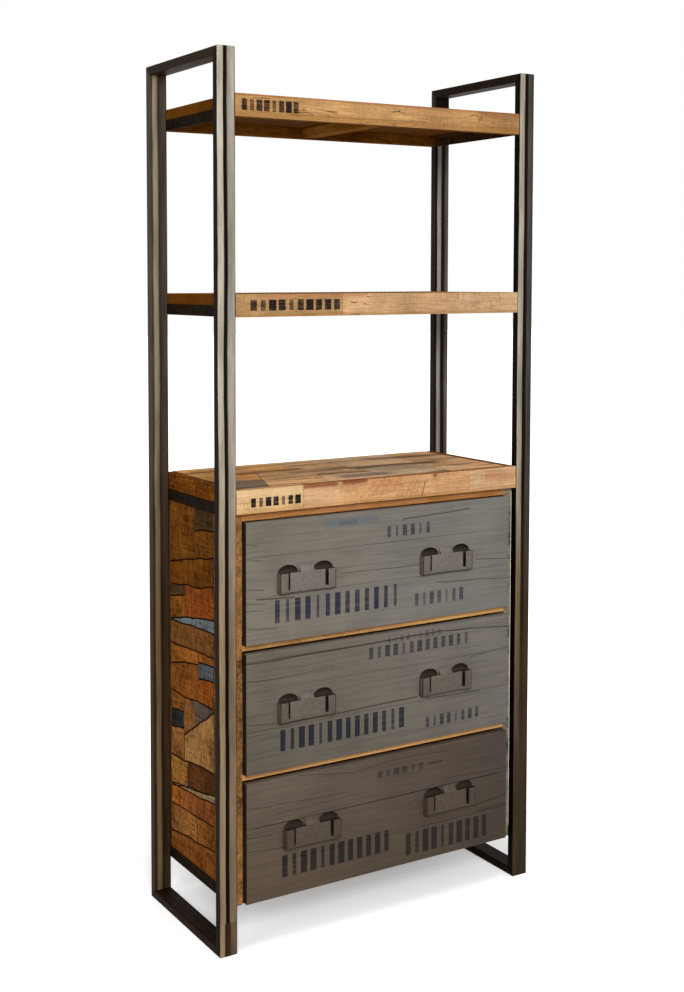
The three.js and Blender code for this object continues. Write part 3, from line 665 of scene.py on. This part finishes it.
# the right side is pieced in the same way, in rows of one or two ends between its stiles
FRONT_STILE, BACK_STILE = 112, 326
chance = random.Random(12)
right_cuts = [(FRONT_STILE, 0, FRONT_STILE, 999), (BACK_STILE, 0, BACK_STILE, 999)]
heights = [102]
while heights[-1] < 880:
    heights.append(heights[-1] + chance.uniform(38, 120))
    tilted = heights[-1] + chance.uniform(-14, 14)
    above_last = (FRONT_STILE, heights[-2], BACK_STILE, 999)
    right_cuts.append((FRONT_STILE, tilted, BACK_STILE, heights[-1], *above_last))
for low_z, high_z in zip(heights, heights[1:]):
    along = chance.uniform(150, 290)
    tilted = along + chance.uniform(-6, 6)
    right_cuts.append((along, 0, tilted, 999, FRONT_STILE, low_z, BACK_STILE, high_z))
board = patched_board("cabinet_right_panel", "cabinet_right_side", "+x", patchwork, right_cuts,
                      2 * browns + ["#454b4e", "#7f6a4a"], [(60, 500, "#744418"), (340, 500, "#5c3a18")],
                      edge="#8c8068", seed=9, joint=0.0014, wander=0.006)

# the back shows seven long brown planks, most of two lengths; inside, the bottom is planed and plain
back_boards = old_wood("old_back_planks", "X")
back_cuts = [(-400, z, 400, z + 2) for z in (236, 372, 498, 633, 760, 882)]
ends = ((-120, 110), (80, 240), (-200, 505), (150, 640), (-40, 765))
back_cuts += [(x, 0, x, 999, -400, low_z, 400, low_z + 120) for x, low_z in ends]
board = patched_board("cabinet_back_planks", "cabinet_back", "+y", back_boards, back_cuts, browns, seed=21)
dress(old_wood("planed_old_boards", "X", ["#4a2a10", "#70441e", "#8c5c30"]), "cabinet_bottom")


# Three rails part the drawers from the top and from each other. They are planed from newer wood and oiled to
# a clear orange; the one under the top is darker, and the others are paler where the light falls on them.
dress(old_wood("planed_orange_teak", "X", ["#93582a", "#bb7e47", "#d39b6c"], saw=0.05), "top_front_rail")
# the pale bands are painted light where it falls on the rails, and the dark band at the left of the upper
# rail is painted shade
rail_lines = [
    (-0.600, 0.683, -0.120, 0.683, 0.3, 0.18, "#6a3c14"), (0.060, 0.683, 0.600, 0.683, 0.3, 0.65, "#ffc27a"),
    (-0.500, 0.389, 0.500, 0.389, 0.3, 0.22, "#ffc27a"), (-0.200, 0.389, 0.500, 0.389, 0.3, 0.6, "#ffc27a"),
]
rail_teak = old_wood("planed_pale_teak", "X", ["#a46e37", "#d39c60", "#eabc8b"], lines=rail_lines, saw=0.05)
dress(rail_teak, "divider_rail_1", "divider_rail_2")


# The drawer fronts are old boards under a thin grey milk paint, brushed on along the grain and rubbed through
# at the joints. Rows of plain bars are stencilled on, and two finger hollows are cut behind each pull.
FRONT_HEIGHT, FRONT_THICKNESS, PAINT_HALF = 0.274, 0.017, 0.3712
PULL_RISE = 0.14
SKIN, ANY_HEIGHT = 0.0004, 9


def painted_front(drawer, corners, rows, lines, ink, pull_z):
    """Milk paint: chalky and matt, grey with the wood's marks showing through. It has four corner colours,
    rows of bars, and joints as lines from x, z to x, z"""
    made, tree = new_material("grey_milk_paint_" + drawer)
    place = add(tree, "TexCoord").outputs["Object"]
    coords = add(tree, "SeparateXYZ", {}, {0: place})
    foot_z = pull_z - PULL_RISE
    sideways = add(tree, "MapRange", {"From Min": -0.36, "From Max": 0.36}, {0: coords})
    rise = {"From Min": foot_z, "From Max": foot_z + FRONT_HEIGHT}
    upwards = add(tree, "MapRange", rise, {0: coords.outputs["Z"]})
    # the four corner colours hold painted shade as well as the paint's own tone, so the fronts darken lower
    # down
    top_left, top_right, foot_left, foot_right = map(linear, corners)
    above = add(tree, "Mix", {"data_type": "RGBA", 6: top_left, 7: top_right}, {0: sideways})
    below = add(tree, "Mix", {"data_type": "RGBA", 6: foot_left, 7: foot_right}, {0: sideways})
    base = add(tree, "Mix", {"data_type": "RGBA"}, {0: upwards, 6: below.outputs[2], 7: above.outputs[2]})
    # brush strokes 5 mm apart and as long as a hand, saw marks 3 mm apart under the paint, and cloudy rubbing
    brushed = add(tree, "Mapping", {"Scale": (6, 40, 190)}, {0: place})
    drawn_out = {"Scale": 1.0, "Detail": 4.0, "Roughness": 0.6, "Distortion": 0.3}
    strokes = add(tree, "TexNoise", drawn_out, {0: brushed})
    cuts = add(tree, "Mapping", {"Scale": (330, 40, 22)}, {0: place})
    sawn = add(tree, "TexNoise", {"Scale": 1.0, "Detail": 2.0}, {0: cuts})
    cloud = add(tree, "TexNoise", {"Scale": 7.0, "Detail": 4.0}, {0: place})
    tone = add(tree, "Math", {"operation": "MULTIPLY_ADD", 1: 0.15}, {0: sawn, 2: strokes})
    tone = add(tree, "Math", {"operation": "MULTIPLY_ADD", 1: 0.7}, {0: cloud, 2: tone})
    tone = add(tree, "MapRange", {"From Min": 0.66, "From Max": 1.19}, {0: tone})
    shade = add(tree, "MapRange", {"To Min": 0.75, "To Max": 1.25}, {0: tone})
    last = add(tree, "VectorMath", {"operation": "SCALE"}, {0: base.outputs[2], "Scale": shade})
    bare = add(tree, "MapRange", {"From Min": 0.6, "From Max": 0.72, "To Max": 0.45}, {0: strokes})
    last = add(tree, "Mix", {"data_type": "RGBA", 7: linear("#5a4630")}, {0: bare, 6: last}).outputs[2]
    last = stencilled(tree, last, tone, rows, ink)
    last, depth = scored(tree, last, tone, lines, 0.004)

    def patch(middle, reach):
        """Where each coordinate is within reach of the middle"""
        inside = None
        for axis, (centre, span) in enumerate(zip(middle, reach)):
            near = add(tree, "Math", {"operation": "COMPARE", 1: centre, 2: span}, {0: coords.outputs[axis]})
            inside = add(tree, "Math", {"operation": "MULTIPLY"}, {0: inside, 1: near}) if inside else near
        return inside

    # the finger hollows are painted dark as shade: nearly black at the top and behind the plate, a little
    # paler at the bottom, where light reaches in
    sunk = patch((0, POST_FRONT + 0.0056, pull_z + 0.016), (0.35, 0.005, 0.02))
    up_the_hollow = {"From Min": pull_z, "From Max": pull_z + 0.034}
    hollow_shade = add(
        tree,
        "ValToRGB",
        {"stops": [(0.0, "#0e0906"), (0.42, "#3e3428"), (0.57, "#2a2018"), (0.72, "#100b07")]},
        {0: add(tree, "MapRange", up_the_hollow, {0: coords.outputs["Z"]})},
    )
    last = add(tree, "Mix", {"data_type": "RGBA"}, {0: sunk, 6: last, 7: hollow_shade}).outputs[2]
    # behind the pulls, seen through the slots, and on the ends, the boards are painted near black as shade;
    # inside the drawer, they have no paint
    for hand in ("left", "right"):
        low, high = (Vector(corner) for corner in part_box(f"{drawer}_{hand}_pull"))
        behind = patch(((low.x + high.x) / 2, POST_FRONT, pull_z - 0.008), (0.07, SKIN, 0.021))
        last = add(tree, "Mix", {"data_type": "RGBA", 7: linear("#120c08")}, {0: behind, 6: last}).outputs[2]
    painted = patch((0, POST_FRONT, 0), (PAINT_HALF, 0.014, ANY_HEIGHT))
    last = add(tree, "Mix", {"data_type": "RGBA", 6: linear("#1c130c")}, {0: painted, 7: last}).outputs[2]
    inside = patch((0, POST_FRONT + FRONT_THICKNESS, 0), (0.37, SKIN, ANY_HEIGHT))
    last = add(tree, "Mix", {"data_type": "RGBA", 7: linear("#8a6a46")}, {0: inside, 6: last}).outputs[2]
    chalky = {"Roughness": 0.68, "Specular IOR Level": 0.2}
    surface(tree, depth, (0.45, 0.0006), chalky, {"Base Color": last})
    return made


fronts = {
    "drawer_1": {
        "corners": ["#70695e", "#75726c", "#766e63", "#75736e"],
        "ink": "#1c2030",
        "pull_z": 0.8323,
        "rows": [
            (-0.305, 0.044, 0.734, 0.786, 13, 1.2), (0.082, 0.237, 0.727, 0.757, 7, 0.9),
            (0.001, 0.137, 0.899, 0.925, 6, 0.9),
        ],
        "lines": [
            (-0.168, 0.9445, -0.020, 0.9445, 0.018, 0.6, "#566069"),
            (-0.128, 0.943, -0.078, 0.943, 0.011, 0.5, "#444b52"), (0.052, 0.938, 0.251, 0.946, 0.003, 0.7),
            (-0.119, 0.828, 0.108, 0.824, 0.002, 0.6), (0.271, 0.820, 0.371, 0.813, 0.002, 0.7),
            (-0.346, 0.793, -0.245, 0.787, 0.003, 0.8), (-0.371, 0.818, -0.328, 0.812, 0.002, 0.6),
            (-0.371, 0.785, -0.321, 0.780, 0.002, 0.6), (-0.371, 0.769, -0.328, 0.766, 0.002, 0.5),
            (-0.371, 0.729, -0.292, 0.723, 0.002, 0.6), (0.147, 0.776, 0.371, 0.765, 0.002, 0.7),
            (-0.371, 0.885, -0.331, 0.879, 0.002, 0.5), (-0.371, 0.918, -0.341, 0.913, 0.002, 0.5),
        ],
    },
    "drawer_2": {
        "corners": ["#696155", "#726d67", "#5c544a", "#6c675f"],
        "ink": "#12141e",
        "pull_z": 0.5389,
        "rows": [
            (-0.290, 0.063, 0.440, 0.489, 14, 1.3, 0.15, 0.34), (0.116, 0.287, 0.428, 0.454, 8, 0.95),
            (-0.049, 0.254, 0.617, 0.644, 13, 0.95, 0.17, 0.32), (0.005, 0.170, 0.6485, 0.664, 9, 0.5),
        ],
        "lines": [
            (-0.371, 0.652, -0.032, 0.654, 0.003, 0.85), (-0.032, 0.654, 0.163, 0.657, 0.003, 0.9),
            (0.163, 0.657, 0.371, 0.643, 0.003, 0.8), (-0.371, 0.612, -0.280, 0.609, 0.002, 0.7),
            (-0.280, 0.609, -0.138, 0.615, 0.002, 0.5), (0.254, 0.581, 0.371, 0.590, 0.002, 0.6),
            (-0.371, 0.515, -0.290, 0.506, 0.002, 0.7), (-0.290, 0.502, 0.098, 0.506, 0.003, 0.8),
            (0.119, 0.498, 0.286, 0.494, 0.002, 0.7), (-0.371, 0.488, -0.311, 0.487, 0.002, 0.5),
            (-0.344, 0.477, -0.285, 0.478, 0.002, 0.5), (-0.096, 0.430, 0.371, 0.421, 0.002, 0.4),
        ],
    },
    "drawer_3": {
        "corners": ["#61554a", "#493f37", "#564839", "#41372d"],
        "ink": "#120b06",
        "pull_z": 0.2456,
        "rows": [
            (-0.285, 0.021, 0.148, 0.199, 12, 1.35, 0.17, 0.36),
            (0.059, 0.315, 0.124, 0.179, 10, 1.35, 0.17, 0.36),
            (-0.023, 0.120, 0.328, 0.345, 6, 0.7, 0.2, 0.38), (0.125, 0.177, 0.334, 0.341, 1, 0.8, 0.4, 0.45),
        ],
        "lines": [
            (-0.237, 0.376, -0.090, 0.356, 0.002, 0.6), (-0.090, 0.356, 0.029, 0.366, 0.002, 0.6),
            (0.029, 0.366, 0.186, 0.360, 0.002, 0.7), (0.184, 0.293, 0.371, 0.285, 0.002, 0.7),
            (-0.298, 0.320, -0.096, 0.311, 0.002, 0.5), (-0.371, 0.325, -0.306, 0.317, 0.002, 0.6),
            (-0.371, 0.258, -0.306, 0.253, 0.002, 0.7), (-0.371, 0.226, -0.269, 0.217, 0.002, 0.7),
            (0.289, 0.248, 0.371, 0.252, 0.002, 0.7), (0.270, 0.206, 0.371, 0.219, 0.003, 0.9),
            (0.277, 0.192, 0.371, 0.196, 0.003, 0.9), (-0.301, 0.298, -0.151, 0.303, 0.002, 0.4),
        ],
    },
}
for drawer, finish in fronts.items():
    dress(painted_front(drawer, **finish), drawer + "_front")


# Each pull is one strip of 2.5 mm sheet steel. Its ends are bent forward into two straps and back to the
# drawer front, its middle is a plate, and a tongue at the top of the plate leans back to the front between
# the hollows.
SHEET = 0.0025
PLATE_HALF, PLATE_HEIGHT, PLATE_REACH, PLATE_MIDDLE = 0.0475, 0.045, 0.0105, -0.0085
SLOT_WIDTH = 0.005
SLOT_MIDDLE, PULL_HALF = PLATE_HALF + SLOT_WIDTH / 2, 0.075
PLATE_TOP, PLATE_FOOT = PLATE_MIDDLE + PLATE_HEIGHT / 2, PLATE_MIDDLE - PLATE_HEIGHT / 2
TONGUE_HALF = 0.018
BRIDGE_TOP = -0.022
HAIR = 0.0005


def pick_edges(is_wanted):
    """Selects the edges for which is_wanted, given an edge's middle and its line, is true"""
    bpy.ops.mesh.select_all(action="DESELECT")
    form = bmesh.from_edit_mesh(bpy.context.object.data)
    for edge in form.edges:
        start, end = (point.co for point in edge.verts)
        edge.select_set(is_wanted((start + end) / 2, end - start))
    bmesh.update_edit_mesh(bpy.context.object.data)


def modify(kind, **settings):
    """Adds a modifier to the pull and applies it"""
    bpy.ops.object.modifier_add(type=kind)
    for name, value in settings.items():
        setattr(pull.modifiers[0], name, value)
    bpy.ops.object.modifier_apply(modifier=pull.modifiers[0].name)


def pull_out(*steps):
    """Extrudes what is selected, step by step, in millimetres"""
    for step in steps:
        metres = [millimetres / 1000 for millimetres in step]
        bpy.ops.mesh.extrude_region_move(TRANSFORM_OT_translate={"value": metres})


# the right half of the plate, as high as it is wide, then as wide as it really is
bpy.ops.object.select_all(action="DESELECT")
bpy.ops.mesh.primitive_plane_add(
    size=PLATE_HEIGHT, location=(PLATE_HEIGHT / 2, -PLATE_REACH, PLATE_MIDDLE), rotation=(math.pi / 2, 0, 0)
)
pull = bpy.context.object
bpy.ops.object.transform_apply(location=True, rotation=True)
bpy.ops.object.mode_set(mode="EDIT")
bpy.ops.mesh.select_mode(type="EDGE")
pick_edges(lambda middle, line: middle.x > PLATE_HEIGHT - HAIR and abs(line.x) < HAIR)
bpy.ops.transform.translate(value=(PLATE_HALF - PLATE_HEIGHT, 0, 0))
for spot, normal in (((TONGUE_HALF, 0, 0), (1, 0, 0)), ((0, 0, BRIDGE_TOP), (0, 0, 1))):
    bpy.ops.mesh.select_all(action="SELECT")
    bpy.ops.mesh.bisect(plane_co=spot, plane_no=normal)
# the strap steps forward, runs along, turns its corner and goes back; the tongue rises, leans back and stands
pick_edges(lambda middle, line: middle.x > PLATE_HALF - HAIR and abs(line.x) < HAIR)
pull_out((5, -3.5, 0), (20, 0, 0), (2.5, 2.5, 0), (0, 11.2, 0))
pick_edges(lambda middle, line: middle.z > PLATE_TOP - HAIR and middle.x < TONGUE_HALF and abs(line.z) < HAIR)
pull_out((0, 0, 2), (0, 7.7, 8.25), (0, 0, 6.75))
# a narrow slot parts each strap from the plate, down to a bridge along the lower edge
bpy.ops.mesh.select_mode(type="FACE")
bpy.ops.mesh.select_all(action="DESELECT")
form = bmesh.from_edit_mesh(pull.data)
for face in form.faces:
    middle = face.calc_center_bounds()
    face.select_set(PLATE_HALF < middle.x < PLATE_HALF + SLOT_WIDTH and middle.z > BRIDGE_TOP)
bpy.ops.mesh.delete(type="FACE")
bpy.ops.object.mode_set(mode="OBJECT")
modify("MIRROR")
bpy.ops.object.mode_set(mode="EDIT")
bpy.ops.mesh.select_all(action="SELECT")
bpy.ops.mesh.remove_doubles(threshold=0.0001)
bpy.ops.mesh.normals_make_consistent(inside=False)
bpy.ops.object.mode_set(mode="OBJECT")
if min(pull.data.polygons, key=lambda polygon: polygon.center.length).normal.y > 0:
    pull.data.flip_normals()
modify("SOLIDIFY", thickness=SHEET, offset=-1, use_even_offset=True)
modify("BEVEL", width=0.0006, segments=2, limit_method="ANGLE")
bpy.ops.object.shade_smooth_by_angle(angle=math.radians(35))
MAP_MIDDLE = 0.5
flat_map = pull.data.uv_layers.new(name="from_the_front")
for corner in pull.data.loops:
    spot = pull.data.vertices[corner.vertex_index].co
    flat_map.data[corner.index].uv = (MAP_MIDDLE + spot.x, MAP_MIDDLE + spot.z)

# the enamel is matt and the drawer's grey, thinner on the straps, with worn spots 9 mm wide; dark ragged
# bands at the bends, on the side walls, round the slots and along the lower edge are painted shade and shadow
pull_paint, tree = new_material("worn_and_shaded_grey_enamel")
place = add(tree, "TexCoord").outputs["Object"]
coords = add(tree, "SeparateXYZ", {}, {0: place})
wear = add(tree, "TexNoise", {"Scale": 110.0, "Detail": 5.0, "Roughness": 0.65}, {0: place})
# the pulls of the lower drawers are browner
by_height = add(tree, "MapRange", {"From Min": 0.25, "From Max": 0.8}, {0: coords.outputs["Z"]})
plate = add(tree, "Mix", {"data_type": "RGBA", 6: linear("#53483d"), 7: linear("#706a62")}, {0: by_height})
strap = add(tree, "Mix", {"data_type": "RGBA", 6: linear("#4a3f35"), 7: linear("#696258")}, {0: by_height})
step = {"From Min": POST_FRONT - 0.0108, "From Max": POST_FRONT - 0.0125}
raised = add(tree, "MapRange", step, {0: coords.outputs["Y"]})
colour = add(tree, "Mix", {"data_type": "RGBA"}, {0: raised, 6: plate.outputs[2], 7: strap.outputs[2]})
lightness = {"From Min": 0.3, "From Max": 0.7, "To Min": 0.78, "To Max": 1.18}
shade = add(tree, "MapRange", lightness, {0: wear})
colour = add(tree, "VectorMath", {"operation": "SCALE"}, {0: colour.outputs[2], "Scale": shade})
flat = add(tree, "SeparateXYZ", {}, {0: add(tree, "UVMap", {"uv_map": "from_the_front"})})
ragged = add(tree, "MapRange", {"To Min": -0.0013, "To Max": 0.0013}, {0: wear})
from_middle = add(tree, "Math", {"operation": "ADD"}, {0: apart(tree, flat, MAP_MIDDLE), 1: ragged})
# painted shade and shadow: a dark line at each bend, the side walls half dark, dark edges round the slots and
# a shadow line along the plate's lower edge
bend_shade = add(tree, "Math", {"operation": "COMPARE", 1: PULL_HALF - 0.0022, 2: 0.0012}, {0: from_middle})
wall_shade = add(tree, "Math", {"operation": "GREATER_THAN", 1: PULL_HALF - 0.001}, {0: from_middle})
wall_shade = add(tree, "Math", {"operation": "MULTIPLY", 1: 0.6}, {0: wall_shade})
slot = add(tree, "Math", {"operation": "COMPARE", 1: SLOT_MIDDLE, 2: 0.0036}, {0: from_middle})
slot_foot = MAP_MIDDLE + BRIDGE_TOP - 0.0015
above = add(tree, "Math", {"operation": "GREATER_THAN", 1: slot_foot}, {0: flat.outputs["Y"]})
slot = add(tree, "Math", {"operation": "MULTIPLY"}, {0: slot, 1: above})
ragged_height = add(tree, "Math", {"operation": "ADD"}, {0: flat.outputs["Y"], 1: ragged})
foot_shadow_top = MAP_MIDDLE + PLATE_FOOT + 0.0014
foot = add(tree, "Math", {"operation": "LESS_THAN", 1: foot_shadow_top}, {0: ragged_height})
wear_and_shade = bend_shade
for other in (wall_shade, slot, foot):
    wear_and_shade = add(tree, "Math", {"operation": "MAXIMUM"}, {0: wear_and_shade, 1: other})
wear_and_shade = add(tree, "Math", {"operation": "MULTIPLY", 1: 0.9}, {0: wear_and_shade})
colour = add(tree, "Mix", {"data_type": "RGBA", 7: linear("#211812")}, {0: wear_and_shade, 6: colour}).outputs[2]
enamel = {"Roughness": 0.6, "Metallic": 0.1, "Specular IOR Level": 0.12}
surface(tree, wear, (0.3, 0.0003), enamel, {"Base Color": colour})
pull.data.materials.append(pull_paint)

for number in (1, 2, 3):
    for hand in ("left", "right"):
        node = f"drawer_{number}_{hand}_pull"
        low, high = (Vector(corner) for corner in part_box(node))
        copy = bpy.data.objects.new(f"drawer_{number}_{hand}_steel_pull", pull.data.copy())
        bpy.context.scene.collection.objects.link(copy)
        copy.data.transform(Matrix.Translation(((low.x + high.x) / 2, POST_FRONT, (low.z + high.z) / 2)))
        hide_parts(node)
        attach(copy, f"drawer_{number}")
bpy.data.objects.remove(pull)


# The drawer boxes and their runners are plain planed wood, nailed together and left without oil: pale, with a
# soft grain and hardly any saw marks.
box_wood = old_wood("planed_pale_wood", "Y", ["#8a6a46", "#b08a5e", "#c8a476"], saw=0.04)
for number in (1, 2, 3):
    dress(box_wood, *(f"drawer_{number}_{part}" for part in ("left_side", "right_side", "bottom", "back")))
dress(box_wood, "left_runner_1", "right_runner_1", "left_runner_2", "right_runner_2")
